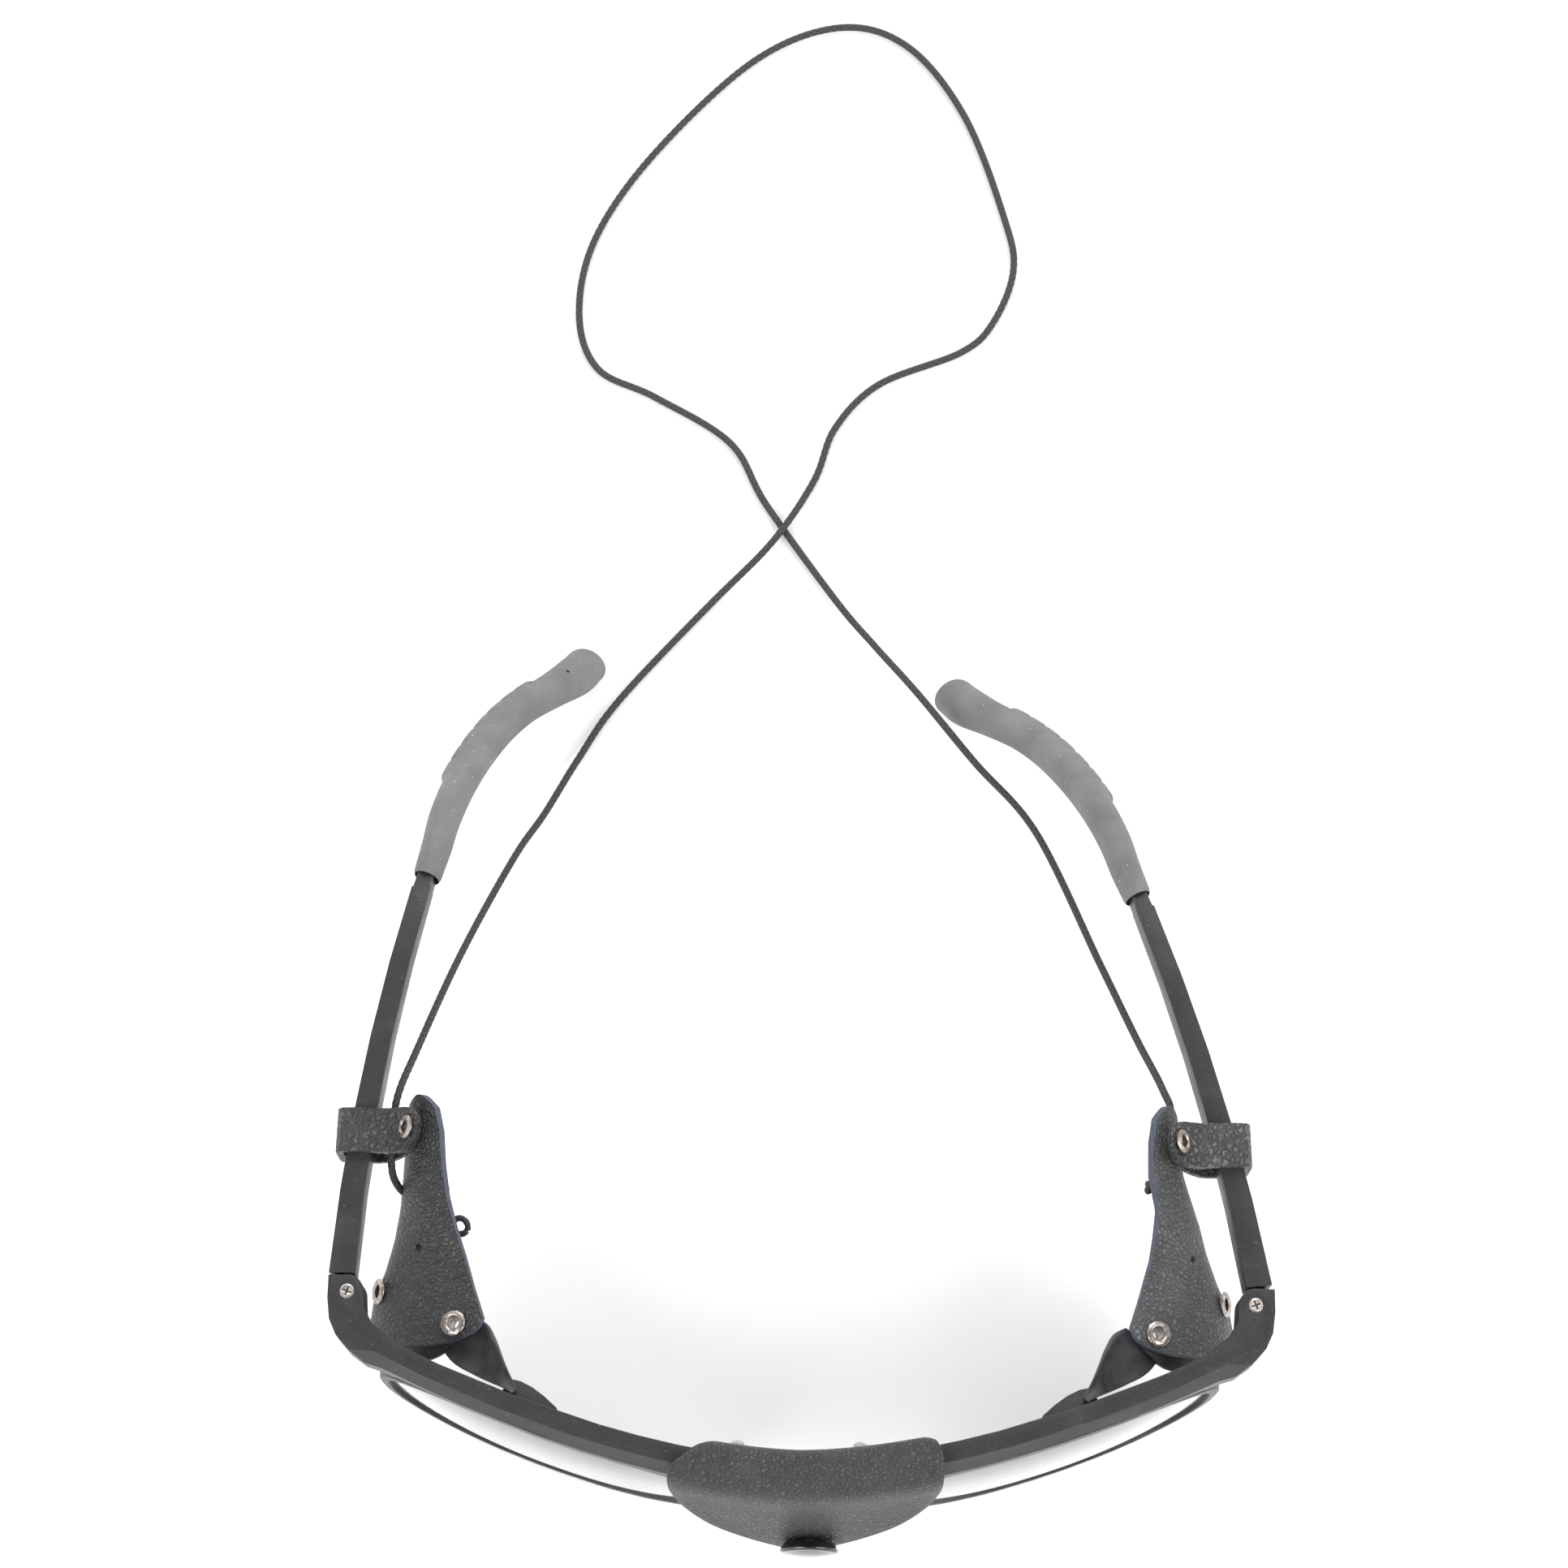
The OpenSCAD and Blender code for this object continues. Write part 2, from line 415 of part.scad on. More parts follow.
module knot() {
  sphere(r = 1.5, $fn = 24);
  for (a = [0, 70]) rotate([a, 30, 0]) rotate_extrude($fn = 24) translate([1.2, 0]) circle(r = 0.6, $fn = 16);
}
module cord_knot_left() color(dark) translate([-57.4, 14.6 + back, 31]) knot();
module cord_knot_right() color(dark) translate([54.2, 18.8 + back, 33]) knot();
module cord_tail_left() color(dark) translate([-52.6, 11 + back, 33]) rotate([20, -25, 0]) {
  rotate_extrude(angle = 320, $fn = 40) translate([1.2, 0]) circle(r = 0.5, $fn = 16);
}

front_frame();
lens_left();
lens_right();
nose_pad_left();
nose_pad_right();
bridge_cover();
snap_cap();
snap_socket();
snap_stud();
snap_post();
shield_carrier_left();
shield_carrier_right();
shield_left();
shield_right();
shield_eyelets_left();
shield_eyelets_right();
temple_left();
temple_right();
hinge_screw_left();
hinge_screw_right();
ear_sleeve_left();
ear_sleeve_right();
strap_left();
strap_right();
strap_eyelet_left();
strap_eyelet_right();
cord();
cord_knot_left();
cord_knot_right();
cord_tail_left();
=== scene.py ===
import math

import bmesh
import bpy
import numpy as np
from mathutils import Matrix, Vector


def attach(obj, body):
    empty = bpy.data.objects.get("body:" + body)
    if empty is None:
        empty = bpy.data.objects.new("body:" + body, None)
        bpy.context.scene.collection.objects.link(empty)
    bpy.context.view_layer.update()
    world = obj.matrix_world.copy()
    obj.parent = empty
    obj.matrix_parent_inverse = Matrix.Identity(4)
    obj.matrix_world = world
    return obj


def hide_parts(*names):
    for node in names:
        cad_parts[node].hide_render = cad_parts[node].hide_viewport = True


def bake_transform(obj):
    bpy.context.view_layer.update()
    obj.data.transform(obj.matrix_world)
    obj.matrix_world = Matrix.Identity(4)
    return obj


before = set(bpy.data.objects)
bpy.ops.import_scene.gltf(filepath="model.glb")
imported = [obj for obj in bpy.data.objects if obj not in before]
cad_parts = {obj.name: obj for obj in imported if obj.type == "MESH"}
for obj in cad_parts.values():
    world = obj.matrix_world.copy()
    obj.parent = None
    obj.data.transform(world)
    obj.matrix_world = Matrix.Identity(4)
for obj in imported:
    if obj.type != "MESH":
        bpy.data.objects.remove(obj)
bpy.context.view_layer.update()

# ---- sizes, in millimetres -------------------------------------------------
MM = 0.001
LEAN = math.radians(5)        # lean of the glasses as they stand
BACK, LIFT = -36.7, 42.1      # place of the hinge line in the row frame
HINGE_X = 68.7
RIGHT_FOLD = math.radians(6.8)    # the right temple stands part folded at rest
BAR_DEPTH = 4.4               # from the back of the brow bar to its front
SHIELD_T = 1.2
COVER_T = 1.4
LENS_W, LENS_H, LENS_T = 54, 36.6, 2.2
LENS_X = 38                   # middle of a lens
LENS_TOP = -5.6
LENS_BULGE = 1.6
CORD_D = 1.2
KNOT_CORD_R = 0.5             # the cord is pulled a little thinner in its knots
EYELET_HOLE = 1.42            # radius of the hole in the leather at an eyelet
CARRIER_HOLE = 2.05           # radius of the hole in the rubber round an eyelet
SLEEVE_END = 2.6              # length of the sleeve's rounded tip
SCREW_SLOT_Z = 41.78          # height over the table below which the screws' slots lie


# ---- camera, made first ------
def add_camera():
    """Looks down on the glasses from a little in front of them, 13 degrees off the vertical."""
    tilt, roll = math.radians(13), math.radians(0.8944)
    right = Vector((math.cos(roll), math.sin(roll) * math.cos(tilt), math.sin(roll) * math.sin(tilt)))
    up = Vector((-math.sin(roll), math.cos(roll) * math.cos(tilt), math.cos(roll) * math.sin(tilt)))
    turn = Matrix((right, up, right.cross(up))).transposed().to_4x4()
    data = bpy.data.cameras.new("camera")
    data.lens, data.sensor_width = 83.63, 36
    data.clip_start, data.clip_end = 0.01, 10
    cam = bpy.data.objects.new("camera", data)
    cam.matrix_world = Matrix.Translation((-0.003845, -0.0849, 0.59566)) @ turn
    bpy.context.scene.collection.objects.link(cam)
    bpy.context.scene.camera = cam


# ---- geometry helpers --------------------------------------------------------
def unit(v):
    v = np.asarray(v, float)
    return v / np.linalg.norm(v, axis=-1, keepdims=True)


def smooth_curve(points, steps):
    """Catmull-Rom curve through points, the same curve that the CAD model follows."""
    p = np.asarray(points, float)
    p = np.vstack([2 * p[0] - p[1], p, 2 * p[-1] - p[-2]])
    t = np.arange(steps)[:, None] / steps
    spans = []
    for a, b, c, d in zip(p[:-3], p[1:-2], p[2:-1], p[3:]):
        spans.append(0.5 * (2 * b + (c - a) * t + (2 * a - 5 * b + 4 * c - d) * t**2
                            + (3 * b - a - 3 * c + d) * t**3))
    return np.vstack(spans + [p[-2:-1]])


def tangents(p):
    """Unit directions along a row of points."""
    return unit(np.vstack([p[1] - p[0], p[2:] - p[:-2], p[-1] - p[-2]]))


def seat(p, side=1, fold=0.0):
    """Points of the upright glasses, in mm, as they stand leaning in the row frame, in metres.

    side is 1 for the right and -1 for the left, and fold turns the points about the hinge.
    """
    p = np.array(p, float).reshape(-1, 3)
    if fold:
        x, y = p[:, 0] - HINGE_X, p[:, 1].copy()
        p[:, 0] = HINGE_X + x * math.cos(fold) - y * math.sin(fold)
        p[:, 1] = x * math.sin(fold) + y * math.cos(fold)
    y, z = p[:, 1], p[:, 2]
    return MM * np.stack([side * p[:, 0], y * math.cos(LEAN) + z * math.sin(LEAN) + BACK,
                          -y * math.sin(LEAN) + z * math.cos(LEAN) + LIFT], 1)


def make_piece(name, points, faces, materials, indices=None):
    """A mesh piece from row-frame points in metres, with its normals outward."""
    mesh = bpy.data.meshes.new(name)
    mesh.from_pydata([tuple(p) for p in points], [], faces)
    for m in materials:
        mesh.materials.append(m)
    if indices is not None:
        mesh.polygons.foreach_set("material_index", indices)
    bm = bmesh.new()
    bm.from_mesh(mesh)
    bmesh.ops.recalc_face_normals(bm, faces=bm.faces)
    bm.to_mesh(mesh)
    bm.free()
    obj = bpy.data.objects.new(name, mesh)
    bpy.context.scene.collection.objects.link(obj)
    return obj


def ring_faces(rings, sides):
    """Faces of a closed skin over rings of equal size, with one face over each end."""
    faces = []
    for a in range(0, (rings - 1) * sides, sides):
        for j in range(sides):
            k = (j + 1) % sides
            faces.append((a + j, a + k, a + sides + k, a + sides + j))
    last = (rings - 1) * sides
    return faces + [tuple(range(sides))[::-1], tuple(range(last, last + sides))]


def sheet_faces(rows, cols):
    """Faces of a closed sheet between two grids: the broad sides' by turns, and the rim's."""
    size = rows * cols
    broad = []
    for i in range(rows - 1):
        for j in range(cols - 1):
            a = i * cols + j
            broad += [(a, a + 1, a + cols + 1, a + cols),
                      (size + a, size + a + cols, size + a + cols + 1, size + a + 1)]
    edge = (list(range(cols - 1)) + [(r + 1) * cols - 1 for r in range(rows - 1)]
            + [size - 1 - i for i in range(cols - 1)]
            + [(rows - 1 - r) * cols for r in range(rows - 1)])
    rim = [(a, b, b + size, a + size) for a, b in zip(edge, edge[1:] + edge[:1])]
    return broad, rim


def apply_modifiers(obj):
    """Bakes the modifiers of obj into its mesh."""
    graph = bpy.context.evaluated_depsgraph_get()
    mesh = bpy.data.meshes.new_from_object(obj.evaluated_get(graph), depsgraph=graph)
    old = obj.data
    obj.modifiers.clear()
    obj.data = mesh
    bpy.data.meshes.remove(old)
    return obj


def soften(obj, width, segments=2, angle=35, smooth=40):
    """Rounds the edges of obj that are sharper than angle, and shades it smooth up to smooth degrees."""
    if width:
        bevel = obj.modifiers.new("edge", "BEVEL")
        bevel.width, bevel.segments = width * MM, segments
        bevel.limit_method, bevel.angle_limit = "ANGLE", math.radians(angle)
        bevel.use_clamp_overlap = True
        bevel.miter_outer = "MITER_ARC"
        apply_modifiers(obj)
    obj.data.shade_smooth()
    obj.data.set_sharp_from_angle(angle=math.radians(smooth))
    return obj


def rest_places(obj):
    """Keeps each point's place at rest, in mm, for the grain of the materials."""
    co = np.empty(len(obj.data.vertices) * 3, np.float32)
    obj.data.vertices.foreach_get("co", co)
    layer = obj.data.attributes.new("rest_mm", "FLOAT_VECTOR", "POINT")
    layer.data.foreach_set("vector", co / MM)
    return obj


def slope_brow(bm):
    """Turns the step along the brow bar's top into a slope that falls to its front edge."""
    step_z, lip_z, rear_z = -0.6, -2.1, -0.15     # the step, and the two edges of the slope
    for v in bm.verts:
        x, y, z = np.array(v.co) / MM - (0, BACK, LIFT)
        y, z = y * math.cos(LEAN) - z * math.sin(LEAN), y * math.sin(LEAN) + z * math.cos(LEAN)
        front = bar_back(abs(x)) - BAR_DEPTH
        if abs(z - step_z) < 0.03 and abs(x) < 66 and y < front + 3:
            z = lip_z if y < front + 0.7 else rear_z
            v.co = MM * Vector((x, y * math.cos(LEAN) + z * math.sin(LEAN) + BACK,
                                -y * math.sin(LEAN) + z * math.cos(LEAN) + LIFT))


def from_cad(node, material, width=0.0, segments=2, angle=35, smooth=40, reshape=None):
    """A detailed copy of a CAD node with rounded edges, which stands for it."""
    bm = bmesh.new()
    bm.from_mesh(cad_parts[node].data)
    bmesh.ops.remove_doubles(bm, verts=bm.verts, dist=1e-6)
    if reshape:
        reshape(bm)
    bmesh.ops.dissolve_limit(bm, angle_limit=math.radians(2), verts=bm.verts, edges=bm.edges)
    mesh = bpy.data.meshes.new(node + "_mesh")
    bm.to_mesh(mesh)
    bm.free()
    mesh.materials.clear()
    mesh.materials.append(material)
    obj = bpy.data.objects.new(node + "_piece", mesh)
    bpy.context.scene.collection.objects.link(obj)
    soften(obj, width, segments, angle, smooth)
    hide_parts(node)
    return rest_places(obj)


def cylinder(centre, axis, radius, length, sides=28, squeeze=1.0):
    """A cutter for a round hole, or an oval one with squeeze: centre in metres, the rest in mm."""
    bm = bmesh.new()
    bmesh.ops.create_cone(bm, cap_ends=True, segments=sides, radius1=radius * MM, radius2=radius * MM,
                          depth=length * MM)
    mesh = bpy.data.meshes.new("cutter")
    bm.to_mesh(mesh)
    bm.free()
    obj = bpy.data.objects.new("cutter", mesh)
    bpy.context.scene.collection.objects.link(obj)
    turn = Vector(axis).to_track_quat("Z", "Y").to_matrix().to_4x4()
    obj.matrix_world = Matrix.Translation(centre) @ turn @ Matrix.Diagonal((squeeze, 1, 1, 1))
    return obj


def cut(obj, cutter):
    """Subtracts cutter from obj, and removes cutter."""
    bpy.context.view_layer.update()
    hole = obj.modifiers.new("hole", "BOOLEAN")
    hole.operation, hole.object, hole.solver = "DIFFERENCE", cutter, "EXACT"
    apply_modifiers(obj)
    bpy.data.objects.remove(cutter)


def join(obj, other):
    """Makes one piece of two."""
    with bpy.context.temp_override(active_object=obj, object=obj, selected_objects=[obj, other],
                                   selected_editable_objects=[obj, other]):
        bpy.ops.object.join()
    return obj


# ---- materials -----------------------------------------------------------------
class Shader:
    """One node material, built around a Principled shader."""

    def __init__(self, name, **sockets):
        self.mat = bpy.data.materials.new(name)
        self.mat.use_nodes = True
        self.tree = self.mat.node_tree
        self.bsdf = self.tree.nodes["Principled BSDF"]
        for key, value in sockets.items():
            self.bsdf.inputs[key.replace("_", " ")].default_value = value
        self.place = self.node("ShaderNodeAttribute", attribute_name="rest_mm").outputs["Vector"]

    def node(self, kind, inputs=None, **settings):
        n = self.tree.nodes.new(kind)
        for key, value in settings.items():
            setattr(n, key, value)
        for key, value in (inputs or {}).items():
            if isinstance(value, bpy.types.NodeSocket):
                self.tree.links.new(value, n.inputs[key])
            else:
                n.inputs[key].default_value = value
        return n

    def noise(self, scale, detail=2.0, rough=0.5, place=None):
        inputs = {"Vector": place or self.place, "Scale": scale, "Detail": detail, "Roughness": rough}
        return self.node("ShaderNodeTexNoise", inputs).outputs["Fac"]

    def cells(self, scale, feature="DISTANCE_TO_EDGE", place=None, randomness=1.0):
        inputs = {"Vector": place or self.place, "Scale": scale, "Randomness": randomness}
        return self.node("ShaderNodeTexVoronoi", inputs, feature=feature).outputs["Distance"]

    def ramp(self, value, low, high, a=0.0, b=1.0):
        """value from low..high to a..b, held at both ends."""
        return self.node("ShaderNodeMapRange", {"Value": value, "From Min": low, "From Max": high,
                                                "To Min": a, "To Max": b}).outputs["Result"]

    def height(self):
        """Height over the table at rest, in mm."""
        return self.node("ShaderNodeSeparateXYZ", {0: self.place}).outputs["Z"]

    def maths(self, operation, a, b):
        return self.node("ShaderNodeMath", {0: a, 1: b}, operation=operation).outputs[0]

    def mix(self, factor, a, b):
        n = self.node("ShaderNodeMix", {"Factor": factor}, data_type="RGBA")
        for socket, value in (("A_Color", a), ("B_Color", b)):
            target = next(s for s in n.inputs if s.identifier == socket)
            if isinstance(value, bpy.types.NodeSocket):
                self.tree.links.new(value, target)
            else:
                target.default_value = (*value, 1)
        return next(s for s in n.outputs if s.identifier == "Result_Color")

    def warp(self, scale, amount):
        """The rest place, pushed about by noise, so that a grain isn't regular."""
        n = self.node("ShaderNodeTexNoise", {"Vector": self.place, "Scale": scale, "Detail": 2.0})
        shift = self.node("ShaderNodeVectorMath", {0: n.outputs["Color"], 1: (amount,) * 3},
                          operation="MULTIPLY")
        moved = self.node("ShaderNodeVectorMath", {0: self.place, 1: shift.outputs[0]}, operation="ADD")
        return moved.outputs[0]

    def set(self, socket, value):
        self.tree.links.new(value, self.bsdf.inputs[socket])

    def bump(self, height, depth, strength=1.0):
        """height in 0..1 stands depth mm proud."""
        n = self.node("ShaderNodeBump", {"Height": height, "Distance": depth * MM, "Strength": strength})
        self.set("Normal", n.outputs["Normal"])
        return self


def charcoal_plastic():
    """Satin moulded plastic with a fine speckled skin and rubbed patches."""
    s = Shader("charcoal_plastic", Roughness=0.4, Specular_IOR_Level=0.5)
    speck = s.noise(5.5, 3.0, 0.7)
    rubbed = s.noise(0.16, 4.0, 0.6)
    dust = s.ramp(s.noise(3.1, 2.0, 0.5), 0.71, 0.76)
    tone = s.mix(s.ramp(speck, 0.35, 0.7), (0.013, 0.0135, 0.015), (0.027, 0.028, 0.031))
    tone = s.mix(s.ramp(rubbed, 0.55, 0.75, 0, 0.5), tone, (0.042, 0.043, 0.046))
    s.set("Base Color", s.mix(dust, tone, (0.16, 0.16, 0.17)))
    s.set("Roughness", s.ramp(s.maths("ADD", speck, rubbed), 0.7, 1.3, 0.34, 0.52))
    return s.bump(speck, 0.03).mat


def mirror_lens():
    """Silvered lens, with a painted reflection darker towards its top edge and a faint haze of fine
    scratches.
    """
    s = Shader("mirror_lens", Metallic=0.92, Roughness=0.12, Coat_Weight=0.3, Coat_Roughness=0.05)
    haze = s.ramp(s.noise(0.35, 3.0, 0.6), 0.3, 0.7, -0.06, 0.06)
    # painted reflection: the colour darkens with height towards the top edge, as the brow bar's shade would
    # show in it
    fade = s.maths("ADD", s.ramp(s.height(), 8, 36), haze)
    s.set("Base Color", s.mix(fade, (0.62, 0.61, 0.605), (0.16, 0.158, 0.16)))
    s.set("Roughness", s.ramp(s.noise(7.0, 2.0), 0.3, 0.7, 0.1, 0.16))
    return s.mat


def leather(name, dark, light, grain, depth, rough=0.5, fold=0.3):
    """Pebbled leather: small warped cells with finer ones between, and soft creases.

    grain is in cells per mm, and fold is how far the creases stand out against the cells.
    """
    s = Shader(name, Roughness=rough, Specular_IOR_Level=0.75)
    place = s.warp(0.7, 1.3)
    pebble = s.ramp(s.cells(grain, place=place), 0.02, 0.3)
    fine = s.ramp(s.cells(grain * 2.1, place=s.warp(2.0, 0.4)), 0.0, 0.3)
    crease = s.noise(0.8, 4.0, 0.6, place=place)
    wear = s.noise(0.18, 4.0, 0.6)
    height = s.maths("ADD", s.maths("MULTIPLY", pebble, 0.6), s.maths("MULTIPLY", fine, 0.15))
    height = s.maths("ADD", height, s.maths("MULTIPLY", crease, fold))
    tops = s.ramp(s.maths("ADD", height, wear), 0.7, 1.7)
    s.set("Base Color", s.mix(tops, dark, light))
    s.set("Roughness", s.ramp(height, 0.2, 1.0, rough + 0.14, rough - 0.06))
    return s.bump(height, depth).mat


def cut_leather():
    """The cut edge and flesh side of the leather: bluish grey and fibrous."""
    s = Shader("cut_leather", Roughness=0.85, Specular_IOR_Level=0.3)
    fibre = s.noise(5.0, 4.0, 0.7)
    s.set("Base Color", s.mix(s.ramp(fibre, 0.3, 0.7), (0.03, 0.036, 0.05), (0.12, 0.14, 0.18)))
    return s.bump(fibre, 0.08).mat


def sleeve_rubber():
    """Matt grey rubber with a mould skin, light dust and the odd bright speck."""
    s = Shader("grey_rubber", Roughness=0.7, Specular_IOR_Level=0.35)
    cloud = s.noise(0.12, 4.0, 0.6)
    skin = s.noise(6.0, 3.0, 0.7)
    dust = s.ramp(s.noise(2.4, 2.0, 0.4), 0.735, 0.77)
    tone = s.mix(s.ramp(cloud, 0.3, 0.7), (0.11, 0.107, 0.108), (0.18, 0.175, 0.175))
    tone = s.mix(s.ramp(skin, 0.4, 0.75, 0, 0.45), tone, (0.25, 0.245, 0.245))
    s.set("Base Color", s.mix(dust, tone, (0.55, 0.54, 0.53)))
    s.set("Roughness", s.ramp(skin, 0.3, 0.7, 0.6, 0.8))
    return s.bump(skin, 0.04).mat


def carrier_rubber():
    """Smooth satin rubber with soft handling marks."""
    s = Shader("carrier_rubber", Roughness=0.42, Specular_IOR_Level=0.5)
    marks = s.noise(0.4, 4.0, 0.6)
    s.set("Base Color", s.mix(s.ramp(marks, 0.35, 0.7), (0.018, 0.019, 0.021), (0.05, 0.051, 0.055)))
    s.set("Roughness", s.ramp(marks, 0.3, 0.7, 0.36, 0.55))
    return s.bump(s.noise(4.0, 2.0), 0.02).mat


STAIN = (0.2, 0.165, 0.145)   # brown dirt on the metal parts


def worn_metal(name, bright, dull, rough):
    """Plated metal, polished where it is rubbed and stained in patches."""
    s = Shader(name, Metallic=1.0, Roughness=rough)
    stain = s.noise(1.1, 4.0, 0.65)
    fine = s.noise(9.0, 2.0)
    s.set("Base Color", s.mix(s.ramp(stain, 0.4, 0.66), bright, dull))
    s.set("Roughness", s.ramp(stain, 0.35, 0.7, rough, rough + 0.25))
    return s.bump(fine, 0.012)


def slotted_metal(name, bright, dull, rough, depth_at):
    """Worn metal with dark dirt in the slots, which lie below the height depth_at."""
    s = worn_metal(name, bright, dull, rough)
    tone = s.bsdf.inputs["Base Color"].links[0].from_socket
    clean = s.ramp(s.height(), depth_at - 0.08, depth_at + 0.08)
    s.set("Base Color", s.mix(clean, STAIN, tone))
    return s


def black_lacquer():
    """Glossy black lacquer with hairline marks."""
    s = Shader("black_lacquer", Base_Color=(0.006, 0.006, 0.007, 1), Roughness=0.08, Coat_Weight=0.6,
               Coat_Roughness=0.03)
    s.set("Roughness", s.ramp(s.noise(3.0, 4.0, 0.7), 0.4, 0.75, 0.06, 0.2))
    return s.mat


def pad_silicone():
    """Clear soft silicone, slightly clouded."""
    s = Shader("clear_pad", Roughness=0.35, IOR=1.42, Transmission_Weight=0.55)
    cloud = s.noise(0.8, 3.0)
    s.set("Base Color", s.mix(s.ramp(cloud, 0.3, 0.7), (0.62, 0.62, 0.61), (0.8, 0.8, 0.79)))
    return s.bump(cloud, 0.05).mat


def braid():
    """Dark braided cord with proud strands, painted shade in the grooves between them, and some lighter
    fibres.
    """
    s = Shader("braided_cord", Roughness=0.8, Specular_IOR_Level=0.3)
    crown = s.node("ShaderNodeAttribute", attribute_name="crown").outputs["Fac"]
    fibre = s.noise(6.0, 3.0, 0.7)
    # painted shade: the cord is coloured darker in the grooves between the strands and lighter on their
    # crowns
    tone = s.mix(crown, (0.012, 0.012, 0.013), (0.058, 0.056, 0.058))
    s.set("Base Color", s.mix(s.ramp(fibre, 0.45, 0.75, 0, 0.5), tone, (0.1, 0.098, 0.1)))
    return s.bump(fibre, 0.03).mat


# ---- retainer cord ---------------------------------------------------------------
REST = CORD_D / 2             # height of the centreline where the cord lies on the table
STEPS = 48                    # points of the centreline for each span of the route
ROUTE = [
    (-59.6, 14.6, 30.6), (-62.5, 17, 33.6), (-63.3, 20.5, 36.7), (-62.9, 29.5, 36.8),
    (-60.3, 38.5, 33), (-55, 56, 21), (-48, 74, 9.5), (-43.5, 82.5, 5), (-38.5, 92.5, 1.6),
    (-32, 103, REST), (-17.5, 119.5, REST), (-6.5, 131, 2), (0.5, 142.5, REST), (4, 152, REST),
    (11.5, 160, REST), (25.5, 166, REST), (31, 171.5, REST), (34.5, 181, REST), (33, 190.5, REST),
    (26, 209.5, REST), (16, 222.5, REST), (4, 226, REST), (-11, 219.5, REST), (-28, 202, REST),
    (-38, 186, REST), (-40.5, 172, REST), (-37, 162, REST), (-27, 157, REST), (-14, 149, REST),
    (-7.6, 138, REST), (4.5, 121, 1.2), (11, 112.5, 4), (18, 103, 9.6), (27.5, 91, 11), (37.5, 78.5, 14),
    (47, 55, 24), (52, 42, 31), (55.4, 33.6, 36), (56.6, 29, 36.5), (54.6, 20.4, 33.6)]
APEX = 21                     # the route point where the two halves of the cord meet
KNOTS = (                     # side, centre, and the way the loops of the knot face
    ("left", (-57.4, 14.6, 31), (0.4, 0.8, 0.5)),
    ("right", (54.2, 18.8, 33), (-0.4, 0.9, 0.3)))


def cord_path(first, last):
    """The centreline between two route points, in metres, with a point about every 0.2 mm."""
    line = smooth_curve(ROUTE, STEPS)[first * STEPS:last * STEPS + 1]
    line[:, 1] += BACK
    line[:, 2] = np.maximum(line[:, 2], REST)
    along = np.r_[0, np.cumsum(np.linalg.norm(np.diff(line, axis=0), axis=1))]
    even = np.linspace(0, along[-1], int(along[-1] / 0.2))
    return MM * np.stack([np.interp(even, along, line[:, k]) for k in range(3)], 1), along[-1] * MM


def braided_tube(name, path, radius, material, sides=16, pitch=2.4):
    """A tube whose skin is a braid, on a frame that doesn't twist along the path."""
    t = tangents(path)
    side = unit(np.cross(t[0], (0.3, 0.2, 1)))
    sides_at = []
    for d in t:
        side = unit(side - d * np.dot(side, d))
        sides_at.append(side)
    s = np.array(sides_at)
    u = np.cross(t, s)
    along = np.r_[0, np.cumsum(np.linalg.norm(np.diff(path, axis=0), axis=1))] / MM
    angle = 2 * math.pi * np.arange(sides) / sides
    turn = 2 * math.pi * along[:, None] / pitch
    one = np.abs(np.cos(2 * angle[None] + turn))
    two = np.abs(np.cos(2 * angle[None] - turn))
    crown = np.maximum(one, two) ** 2
    r = radius * MM * (0.9 + 0.1 * crown)
    points = (path[:, None] + r[..., None] * (np.cos(angle)[None, :, None] * s[:, None]
                                              + np.sin(angle)[None, :, None] * u[:, None]))
    obj = make_piece(name, points.reshape(-1, 3), ring_faces(len(path), sides), [material])
    # the crown also sets the painted shade of the cord's colour, darker in the grooves between the strands
    layer = obj.data.attributes.new("crown", "FLOAT", "POINT")
    layer.data.foreach_set("value", crown.reshape(-1).astype(np.float32))
    obj.data.shade_smooth()
    return rest_places(obj)


def overhand(name, centre, axis, material, size=1.0):
    """A small tied knot: the cord crosses itself three times in a trefoil."""
    a = np.linspace(0, 2 * math.pi, 160)
    loop = np.stack([np.sin(a) + 2 * np.sin(2 * a), np.cos(a) - 2 * np.cos(2 * a), -np.sin(3 * a) * 1.1], 1)
    turn = np.array(Vector(axis).to_track_quat("Z", "Y").to_matrix())
    path = np.array(centre) + MM * size * 0.42 * loop @ turn.T
    return braided_tube(name, path, KNOT_CORD_R, material, sides=12)


